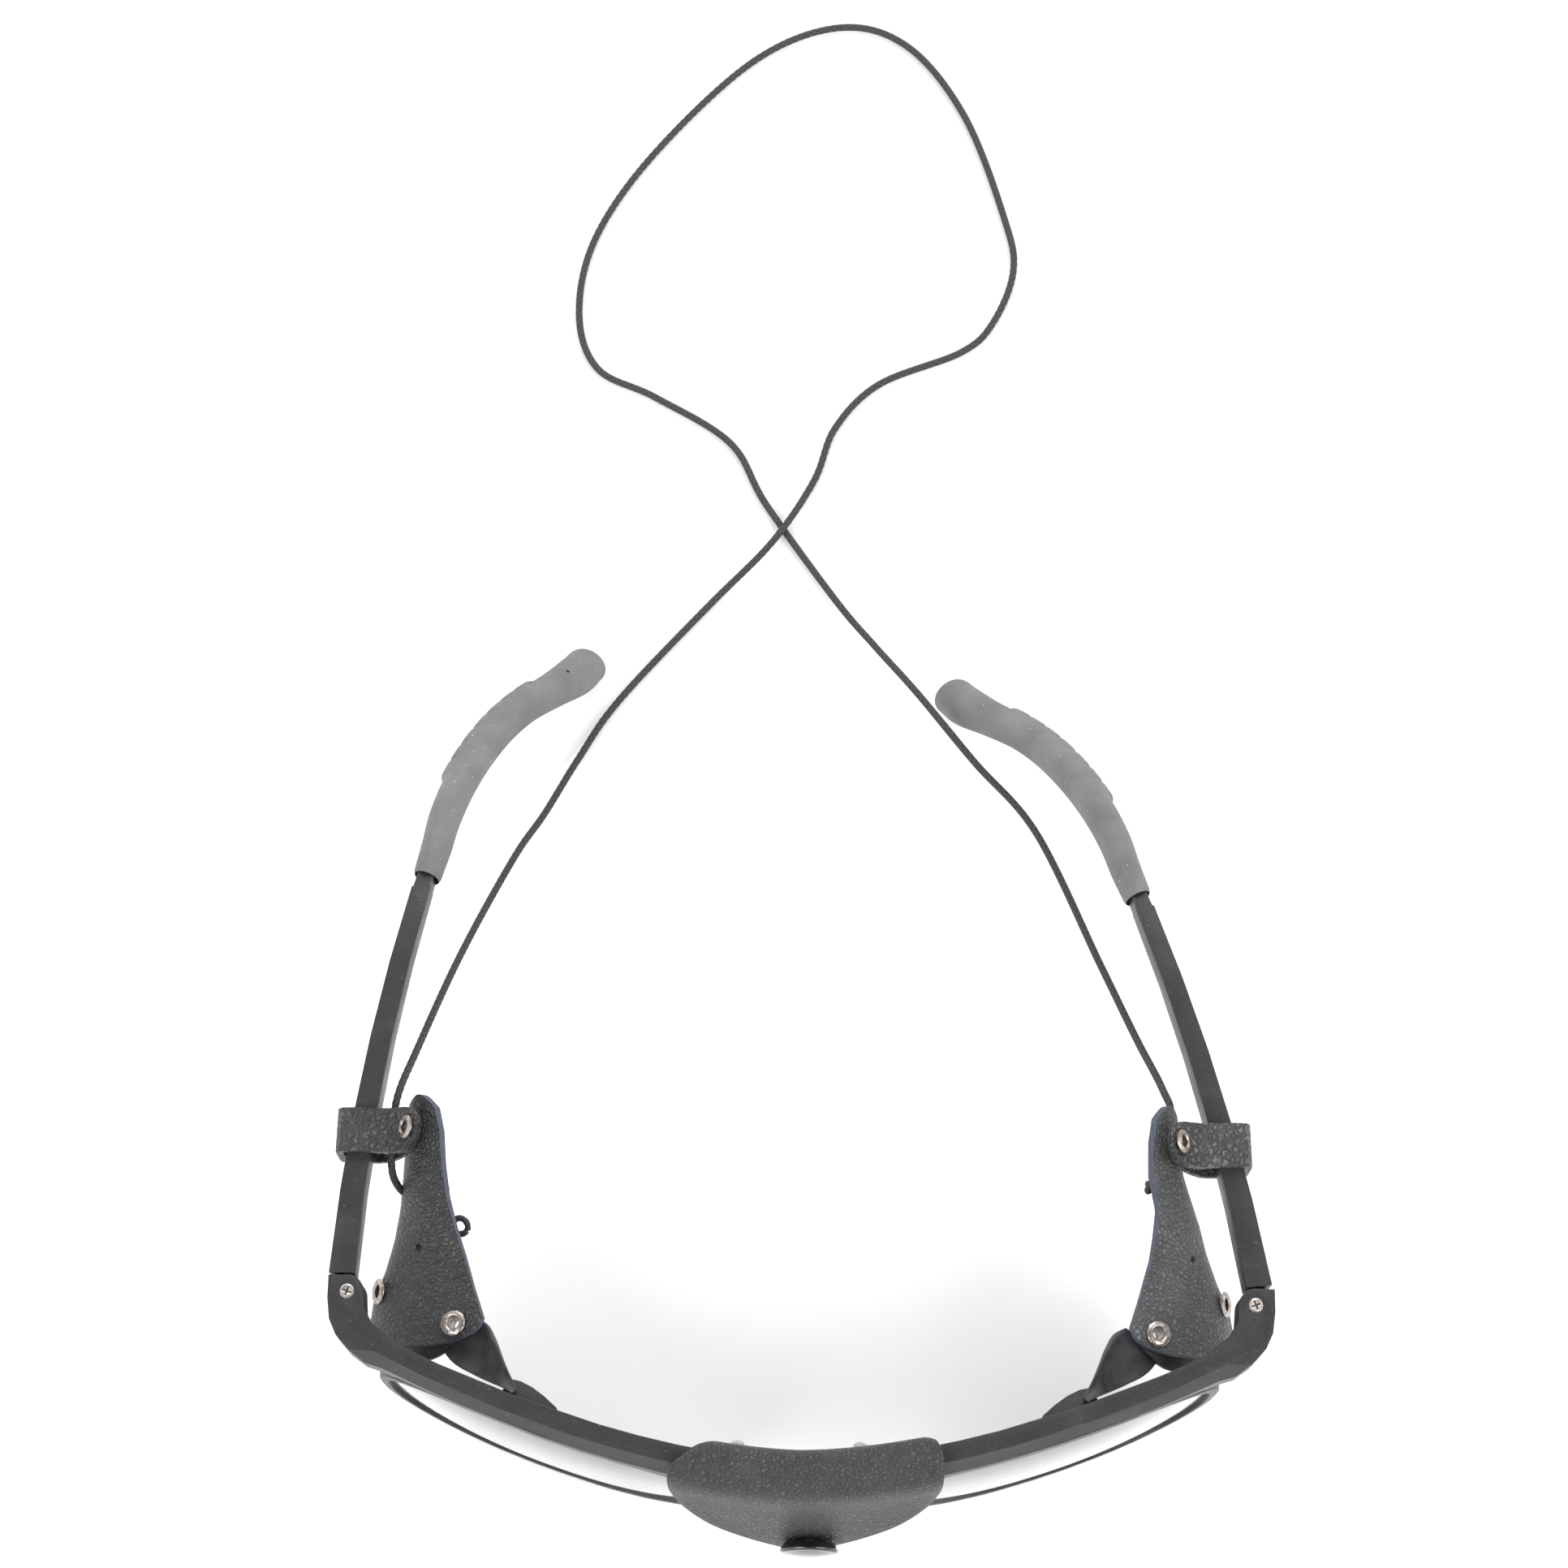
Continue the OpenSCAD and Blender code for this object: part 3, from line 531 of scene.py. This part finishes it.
def build_cord(material):
    knots = []
    for side, centre, axis in KNOTS:
        place = MM * np.array([centre[0], centre[1] + BACK, centre[2]])
        knot = overhand("cord_knot_%s_piece" % side, place, axis, material)
        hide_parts("cord_knot_" + side)
        knots.append(knot)
    # the tail is an open loop, with a stub beside it
    a = np.radians(np.linspace(-20, 325, 90))
    ring = np.stack([1.25 * np.cos(a), 1.25 * np.sin(a), 0.25 * np.sin(a / 2)], 1)
    turn = np.array(Matrix.Rotation(math.radians(20), 3, "X") @ Matrix.Rotation(math.radians(-25), 3, "Y"))
    tail_path = MM * (np.array((-52.6, 11 + BACK, 33)) + ring @ turn.T)
    tail = braided_tube("cord_tail_piece", tail_path, KNOT_CORD_R, material, sides=12)
    stub_path = MM * np.linspace((-57.0, 16.6 + BACK, 33.4), (-54.6, 16.4 + BACK, 33.8), 12)
    tail = join(tail, braided_tube("cord_stub", stub_path, 0.55, material, sides=12))
    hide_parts("cord_tail_left")
    runs = (("left", 0, APEX, [knots[0], tail]), ("right", APEX, len(ROUTE) - 1, [knots[1]]))
    for side, first, last, joined in runs:
        path, length = cord_path(first, last)
        if side == "right":
            path = path[::-1]
        half = braided_tube("cord_%s_piece" % side, path, CORD_D / 2, material)
        body = "temple_" + side
        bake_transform(half)
    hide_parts("cord")
    for piece, body in ((knots[0], "temple_left"), (knots[1], "temple_right")):
        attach(piece, body)
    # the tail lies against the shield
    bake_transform(tail)


# ---- lenses ------------------------------------------------------------------------
def bar_back(x):
    """Inner edge of the brow bar, and with it the sweep of the whole front."""
    return -24.4 + 15 * (np.abs(x) / 57.6) ** 1.7


def lens_outline(a, gap=0.0):
    """Places x and z on the edge of the right lens at the angles a, gap mm outside it."""
    c, s = np.cos(a), np.sin(a)
    e = 2 / 2.7
    x = LENS_X + (LENS_W / 2 + gap) * np.sign(c) * np.abs(c) ** e
    x += np.where(c < 0, 1, -1) * 2.2 * (1 - s) * np.abs(c) * 0.6
    return x, LENS_TOP - LENS_H / 2 + (LENS_H / 2 + gap) * np.sign(s) * np.abs(s) ** e


def build_lens(side, name, material):
    """A lens that bulges forward and is closed behind, with its edge in the groove of the rim."""
    rings, around = 14, 96
    a = 2 * math.pi * np.arange(around) / around
    ox, oz = lens_outline(a, 0.02)
    cz = LENS_TOP - LENS_H / 2
    grids = []
    for depth in (1.0, 1.0 + LENS_T):
        rows = []
        for k in range(rings, -1, -1):
            f = max(k / rings, 0.02)
            x, z = LENS_X + (ox - LENS_X) * f, cz + (oz - cz) * f
            bulge = LENS_BULGE * (1 - f ** 2.4)
            rows.append(np.stack([x, bar_back(x) - BAR_DEPTH + depth - bulge, z], 1))
        grids.append(rows)
    rows = grids[0][::-1] + grids[1]
    points = seat(np.vstack(rows), side)
    obj = make_piece(name + "_piece", points, ring_faces(len(rows), around), [material])
    soften(obj, 0, smooth=30)
    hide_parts(name)
    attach(rest_places(obj), "front")


# ---- leather shields and rubber carriers ----------------------------------------------
# x of the shield's edges along y, and how much they are turned on the part folded right side
INNER_EDGE = np.array([(-8, 46.6), (-3, 48.4), (1.5, 50), (6.2, 51.5), (10.3, 53), (14.6, 54.3), (19, 55),
                       (24, 55.4), (28, 56.4), (32, 57.6)])
OUTER_EDGE = np.array([(-8, 67.2), (-3, 66.9), (1.5, 66.3), (5.5, 64.6), (10, 63.2), (14.5, 62.3), (19, 61.9),
                       (24, 61.6), (28, 61.6), (32, 61.2)])
INNER_TURN = np.array([(-8, 2), (7, 1.6), (14, 0.2), (19, -1.8), (32, -2.8)])
OUTER_TURN = np.array([(-3, 0.6), (6, 0), (14, -0.8), (21, -2.8), (28, -3.4), (32, -3.2)])
ARC_START = math.radians(38)
LIMB = 0.6                    # the t where the arc over the temple passes into the side wall
VENTS = ((-3.7, 0.085), (2.2, 0.46))    # y and t of the vent eyelets
# marks in the leather, first of the left shield, then of the right: y, t, radius, depth, squeeze
MARKS = (
    ((7.8, 0.21, 0.6, 0.5, 1.0),),
    ((8.0, 0.25, 0.55, 4.0, 1.0), (18.4, 0.52, 0.75, 4.0, 0.55)))


def look_up(y, table):
    """The value of a table of (y, value) rows at y."""
    return float(np.interp(y, table[:, 0], table[:, 1]))


def ease(t):
    """0 to 1 with a level start and end, for t from 0 to 1."""
    t = min(max(t, 0.0), 1.0)
    return t * t * (3 - 2 * t)


def shield_section(y, t, turned):
    """A point of the shield's outer surface: t runs from its inner edge over the limb to its lower edge."""
    x_in = look_up(y, INNER_EDGE) + turned * look_up(y, INNER_TURN)
    x_out = look_up(y, OUTER_EDGE) + turned * look_up(y, OUTER_TURN)
    z_in = -4.2 + 8.6 * ease(y / 27)
    z_limb = -17 + 9.5 * ease((y + 4) / 32)
    z_low = -35 + 24 * ease((y + 10) / 36)
    if t < LIMB:
        a = ARC_START + (math.pi / 2 - ARC_START) * t / LIMB
        k = (math.sin(a) - math.sin(ARC_START)) / (1 - math.sin(ARC_START))
        z = z_limb + (z_in - z_limb) * math.cos(a) / math.cos(ARC_START)
        return np.array([x_in + (x_out - x_in) * k, y, z])
    k = (t - LIMB) / (1 - LIMB)
    return np.array([x_out - 2.2 * k * k, y, z_limb + (z_low - z_limb) * k])


def shield_normal(y, t, turned):
    """Outward direction of the shield, square to its section."""
    d = unit(shield_section(y, min(1, t + 0.02), turned) - shield_section(y, max(0, t - 0.02), turned))
    return np.array([-d[2], 0, d[0]])


def shield_y(s, t):
    """Place y of the shield from its front edge, at s = 0, to its rear edge, at s = 1."""
    arc, wall = min(t / LIMB, 1), max(0, (t - LIMB) / (1 - LIMB))
    front = -3 - 3.9 * math.sin(math.pi * arc ** 0.62) - 2.4 * wall
    if t < 0.2:
        rear = 30.2 - 2.6 * ((0.2 - t) / 0.2) ** 2
    else:
        rear = 30.2 - 8 * ((t - 0.2) / 0.8) ** 1.7
    return front + (rear - front) * s


def on_shield(y, t, turned, side, sink=0.0):
    """Centre and outward direction at a place on the shield, in the row frame."""
    p, n = shield_section(y, t, turned), shield_normal(y, t, turned)
    ends = seat(np.vstack([p - n * sink, p - n * sink + n]), side)
    return ends[0], unit(ends[1] - ends[0])


def build_shield(side, turned, name, skin, edge):
    rows, cols = 72, 56
    outer, inner = [], []
    for i in range(rows):
        for j in range(cols):
            t = j / (cols - 1)
            y = shield_y(i / (rows - 1), t)
            p, n = shield_section(y, t, turned), shield_normal(y, t, turned)
            outer.append(p)
            inner.append(p - n * SHIELD_T)
    broad, rim = sheet_faces(rows, cols)
    points = seat(np.vstack([outer, inner]), side)
    obj = make_piece(name + "_piece", points, broad + rim, [skin, edge],
                     [0, 1] * (len(broad) // 2) + [1] * len(rim))
    for y, t in VENTS:
        centre, axis = on_shield(y, t, turned, side)
        cut(obj, cylinder(centre, axis, EYELET_HOLE, 6))
    for y, t, radius, deep, squeeze in MARKS[turned]:
        centre, axis = on_shield(y, t, turned, side)
        cut(obj, cylinder(centre, axis, radius, deep, squeeze=squeeze))
    soften(obj, 0.28, 3, angle=48, smooth=50)
    rest_places(obj)
    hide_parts(name)
    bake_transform(obj)


def arch_rings(turned):
    """Rings of the rubber arch that backs the shield, from its inner edge to its lower edge."""
    rings = []
    for j in range(2, 41):
        t = j / 40
        p, n = shield_section(-2, t, turned), shield_normal(-2, t, turned)
        x = p[0]
        front = float(np.interp(x, (47, 53, 55, 57, 59, 62, 65, 69),
                                (-5.6, -6, -7.6, -8.6, -8.8, -7.6, -5.6, -2.4)))
        rear = -1.6 + (x - 48) * 2 / 22
        ring = []
        for y, drop in ((front, 2.0), (rear, 2.0), (rear, 3.1), (front, 3.1)):
            q = p - n * drop
            ring.append((q[0], y, q[2]))
        rings.append(ring)
    return rings


# the two long sides of the carrier's leaf, from the arch to the lug
LEAF_BAR = [(55.6, -6, -8.9), (53, -9.2, -8), (49.5, -11.3, -6.6), (46.8, -12.8, -4), (44.9, -14, -0.3),
            (43.2, -15, 0.1)]
LEAF_RIDGE = [(49.6, -2.6, -7), (47.6, -3.8, -6.4), (46.2, -6.2, -5), (45.2, -8.6, -3.2), (44, -11.3, -0.8),
              (42.5, -14.3, 0.1)]


def leaf_rings():
    """Rings of the leaf that reaches to the lug: hollow, with a raised ridge near its inner side."""
    rings = []
    bar_side, ridge = smooth_curve(LEAF_BAR, 10), smooth_curve(LEAF_RIDGE, 10)
    w = np.linspace(0, 1, 25)
    hollow = -0.6 * np.sin(math.pi * np.clip(w / 0.8, 0, 1)) + 0.5 * np.exp(-((w - 0.9) / 0.07) ** 2)
    for k, (a, b) in enumerate(zip(bar_side, ridge)):
        tip = min(1.0, (len(ridge) - 1 - k) / 8)
        top = a + (b - a) * w[:, None]
        top[:, 2] += hollow * (0.3 + 0.7 * tip) * min(1, k / 16)
        low = top[::-1].copy()
        low[:, 2] = np.linspace(b[2], a[2], len(w)) - 1.0
        rings.append(np.vstack([top, low]))
    return rings


def build_carrier(side, turned, name, material):
    parts = []
    for rings in (arch_rings(turned), leaf_rings()):
        faces = ring_faces(len(rings), len(rings[0]))
        part = make_piece(name + "_piece", seat(np.vstack(rings), side), faces, [material])
        for y, t in VENTS:
            centre, axis = on_shield(y, t, turned, side)
            cut(part, cylinder(centre, axis, CARRIER_HOLE, 12))
        parts.append(soften(part, 0.3, 2, angle=50, smooth=50))
    obj = join(*parts)
    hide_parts(name)
    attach(rest_places(obj), "front")


# ---- bridge cover ------------------------------------------------------------------------
# rear flap, over the bar, front flap: y, z, right half width, follow of the sweep, left half width
COVER_ROWS = [
    (-30.6, -22, 3.6, 0, 3.6), (-29, -18, 4.6, 0.1, 4.6), (-25.6, -14, 6, 0.3, 6),
    (-23.1, -9.5, 10.5, 0.8, 9), (-22.7, -5.5, 15, 1, 11.5), (-22.6, -2, 17.6, 1, 13.6),
    (-23.2, 1.2, 19.2, 1, 15.6), (-25.5, 2.2, 20.2, 1, 18), (-27.8, 2, 20.6, 1, 19.9),
    (-29.8, 1, 20.6, 1, 20.6), (-30.9, -1.4, 20.5, 1, 20.6), (-31.5, -5.5, 20.1, 1, 20.2),
    (-32.3, -10, 18.4, 0.85, 18.4), (-33.3, -14.5, 14.6, 0.6, 14.6), (-34.2, -18.5, 9.2, 0.4, 9.2),
    (-34.8, -22.3, 4.4, 0.2, 4.4)]


def build_cover(skin, edge):
    rows = smooth_curve(COVER_ROWS, 7)
    cols = 65
    run = np.stack([np.zeros(len(rows)), rows[:, 0], rows[:, 1]], 1)
    t = tangents(run)
    normal = np.stack([np.zeros(len(rows)), t[:, 2], -t[:, 1]], 1)
    outer, inner = [], []
    for row, n in zip(rows, normal):
        across = np.linspace(-1, 1, cols)
        # the cut edge rolls under a little, as a folded skin does
        half = np.where(across < 0, row[4], row[2])
        roll = 0.45 * np.clip((np.abs(across) * half - (half - 1.6)) / 1.6, 0, 1) ** 2.2
        x = 1 + half * across
        p = np.stack([x, row[0] + row[3] * (bar_back(x) - bar_back(0.0)), np.full(cols, row[1])], 1)
        outer.append(p - n * roll[:, None])
        inner.append(p - n * COVER_T)
    broad, rim = sheet_faces(len(rows), cols)
    points = seat(np.vstack([np.vstack(outer), np.vstack(inner)]))
    obj = make_piece("bridge_cover_piece", points, broad + rim, [skin, edge],
                     [0, 1] * (len(broad) // 2) + [1] * len(rim))
    soften(obj, 0.3, 3, angle=48, smooth=50)
    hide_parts("bridge_cover")
    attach(rest_places(obj), "front")


# ---- ear sleeves ----------------------------------------------------------------------------
def temple_x(y):
    """Middle line of the right temple bar, as it bows outward behind the hinge."""
    return HINGE_X + 1.1 - 0.046 * y - 0.00158 * y * y


SLEEVE_RUN = [(temple_x(66.4), 66.4, -3.1), (temple_x(71), 71, -3.2), (57.5, 76, -3.6), (55.7, 82, -5.5),
              (53.3, 88.3, -8.9), (50.2, 94.8, -13.7), (46.7, 100.2, -18.5), (42.6, 104.8, -23.2),
              (39.2, 108.8, -27.5), (37.6, 111.3, -29.5)]
SLEEVE_SIZE = [(4.4, 7.4), (4.8, 7.6), (5.1, 7.6), (5.3, 7.4), (5.4, 7.2), (5.4, 7), (5.4, 6.8), (5.9, 6.4),
               (7, 6.2), (7, 5.2)]
RIBS, RIB_START, RIB_PITCH, RIB_H = 7, 3.0, 0.5, 0.62   # places in spans of the run


def build_sleeve(side, fold, name, material):
    steps, sides = 26, 40
    run = smooth_curve(SLEEVE_RUN, steps)
    size = smooth_curve([(*s, 0) for s in SLEEVE_SIZE], steps)
    t = tangents(run)
    s = unit(np.cross(t, (0, 0, 1)))
    u = np.cross(s, t)
    angle = 2 * math.pi * np.arange(sides) / sides
    rings = []
    for i in range(len(run)):
        place = (i / steps - RIB_START) / RIB_PITCH
        ridge = 0.0
        if 0 <= place < RIBS:
            ridge = ease((math.sin(math.pi * (place % 1)) - 0.3) / 0.3)
        facing = np.array([ease((math.cos(a) - 0.30) / 0.25) for a in angle])
        w = size[i, 0] / 2 + RIB_H * ridge * facing
        h = size[i, 1] / 2
        rings.append(run[i] + s[i] * (w * np.cos(angle))[:, None]
                     + u[i] * (h * np.sin(angle))[:, None])
    for a in np.radians((10, 20, 30, 42, 54, 66, 76, 84, 89)):
        w, h = size[-1, :2] / 2 * math.cos(a) ** 0.45
        rings.append(run[-1] + t[-1] * SLEEVE_END * math.sin(a) + s[-1] * (w * np.cos(angle))[:, None]
                     + u[-1] * (h * np.sin(angle))[:, None])
    # the pocket round the temple bar, from its bottom to the mouth
    pocket = []
    for i in (28, 18, 8, 2, 0):
        c, d = np.cos(angle), np.sin(angle)
        f = (np.abs(c) ** 5 + np.abs(d) ** 5) ** -0.2
        pocket.append(run[i] + s[i] * (1.85 * c * f)[:, None]
                      + np.array((0, 0, 1)) * (3.0 * d * f - 0.05)[:, None])
    # the lip round the mouth is rounded and leans a little
    lip = run[0] + (rings[0] - run[0]) * 0.9 - t[0] * 0.35
    rings = pocket + [lip] + rings[1:]
    faces = ring_faces(len(rings), sides)
    obj = make_piece(name + "_piece", seat(np.vstack(rings), side, fold), faces, [material])
    if side < 0:
        hole = seat([(40.2, 107.4, -23.4), (40.2, 107.9, -22.4)], side, fold)
        cut(obj, cylinder(hole[0], unit(hole[1] - hole[0]), 0.34, 2.4, 8, squeeze=1.4))
    soften(obj, 0, smooth=55)
    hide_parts(name)
    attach(rest_places(obj), "temple_left" if side < 0 else "temple_right")


# ---- floor and light -------------------------------------------------------------------------
LIGHTS = (                    # name, place and size in metres, power in watts
    ("key", (-0.75, -0.65, 0.95), 0.9, 11.0),
    ("side", (0.95, -0.35, 0.9), 0.9, 9.0),
    ("back", (0.1, 1.2, 0.85), 1.1, 12.0))


def build_stage():
    s = Shader("floor_white", Base_Color=(0.93, 0.93, 0.93, 1), Roughness=0.9)
    half, z = 3, -0.0002
    points = [(-half, -half, z), (half, -half, z), (half, half, z), (-half, half, z)]
    floor = make_piece("floor", points, [(0, 1, 2, 3)], [s.mat])
    world = bpy.data.worlds.new("studio")
    world.use_nodes = True
    tree = world.node_tree
    sky = tree.nodes["Background"]
    sky.inputs["Color"].default_value = (1, 1, 1, 1)
    # bright walls all round and a dim ceiling
    place = tree.nodes.new("ShaderNodeTexCoord")
    split = tree.nodes.new("ShaderNodeSeparateXYZ")
    fade = tree.nodes.new("ShaderNodeMapRange")
    for socket, value in (("From Min", 0.42), ("From Max", 0.93), ("To Min", 1.45), ("To Max", 0.22)):
        fade.inputs[socket].default_value = value
    tree.links.new(place.outputs["Generated"], split.inputs[0])
    tree.links.new(split.outputs["Z"], fade.inputs["Value"])
    tree.links.new(fade.outputs["Result"], sky.inputs["Strength"])
    bpy.context.scene.world = world
    for name, place, size, power in LIGHTS:
        data = bpy.data.lights.new(name, "AREA")
        data.shape, data.size, data.energy = "SQUARE", size, power
        light = bpy.data.objects.new(name, data)
        light.location = place
        light.rotation_euler = (-Vector(place)).to_track_quat("-Z", "Y").to_euler()
        bpy.context.scene.collection.objects.link(light)
    bpy.context.scene.view_settings.view_transform = "Standard"


# ---- assembly -----------------------------------------------------------------------------------
add_camera()
build_cord(braid())
build_stage()

plastic = charcoal_plastic()
silver = mirror_lens()
nickel = worn_metal("nickel", (0.44, 0.4, 0.37), STAIN, 0.24).mat
steel = slotted_metal("bright_steel", (0.86, 0.84, 0.82), (0.5, 0.45, 0.41), 0.22, SCREW_SLOT_Z).mat
snap_metal = worn_metal("snap_metal", (0.6, 0.58, 0.55), (0.38, 0.36, 0.33), 0.3).mat
dark_hide = leather("shield_leather_dark", (0.014, 0.014, 0.015), (0.075, 0.075, 0.078), 1.35, 0.6,
                    rough=0.38)
pale_hide = leather("shield_leather_pale", (0.045, 0.045, 0.047), (0.165, 0.165, 0.17), 1.45, 0.5,
                    rough=0.42)
coarse_dark = leather("strap_leather_dark", (0.010, 0.010, 0.011), (0.07, 0.07, 0.073), 1.05, 0.7,
                      rough=0.34)
coarse_pale = leather("strap_leather_pale", (0.016, 0.016, 0.017), (0.16, 0.16, 0.165), 1.0, 0.75,
                      rough=0.34)
cover_hide = leather("cover_leather", (0.012, 0.012, 0.013), (0.062, 0.062, 0.065), 1.45, 0.6,
                     rough=0.36)
edge = cut_leather()
rubber = sleeve_rubber()
carrier_black = carrier_rubber()

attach(from_cad("front_frame", plastic, 0.35, 3, reshape=slope_brow), "front")
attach(from_cad("snap_cap", black_lacquer(), 0, smooth=35), "front")
for node in ("snap_socket", "snap_stud", "snap_post"):
    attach(from_cad(node, snap_metal, 0.05), "front")
build_cover(cover_hide, edge)
pad = pad_silicone()

for side, side_name in ((-1, "left"), (1, "right")):
    turned = 1 if side > 0 else 0
    fold = RIGHT_FOLD if side > 0 else 0.0
    temple = "temple_" + side_name
    build_lens(side, "lens_" + side_name, silver)
    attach(from_cad("nose_pad_" + side_name, pad, 0, smooth=60), "front")
    build_carrier(side, turned, "shield_carrier_" + side_name, carrier_black)
    build_shield(side, turned, "shield_" + side_name, pale_hide if turned else dark_hide, edge)
    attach(from_cad("shield_eyelets_" + side_name, nickel, 0, smooth=50), "front")
    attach(from_cad("hinge_screw_" + side_name, steel, 0.08), "front")
    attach(from_cad(temple, plastic, 0.4, 3), temple)
    build_sleeve(side, fold, "ear_sleeve_" + side_name, rubber)
    strap = from_cad("strap_" + side_name, coarse_pale if turned else coarse_dark, 0.3, 3, angle=50)
    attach(strap, temple)
    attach(from_cad("strap_eyelet_" + side_name, nickel, 0, smooth=50), temple)
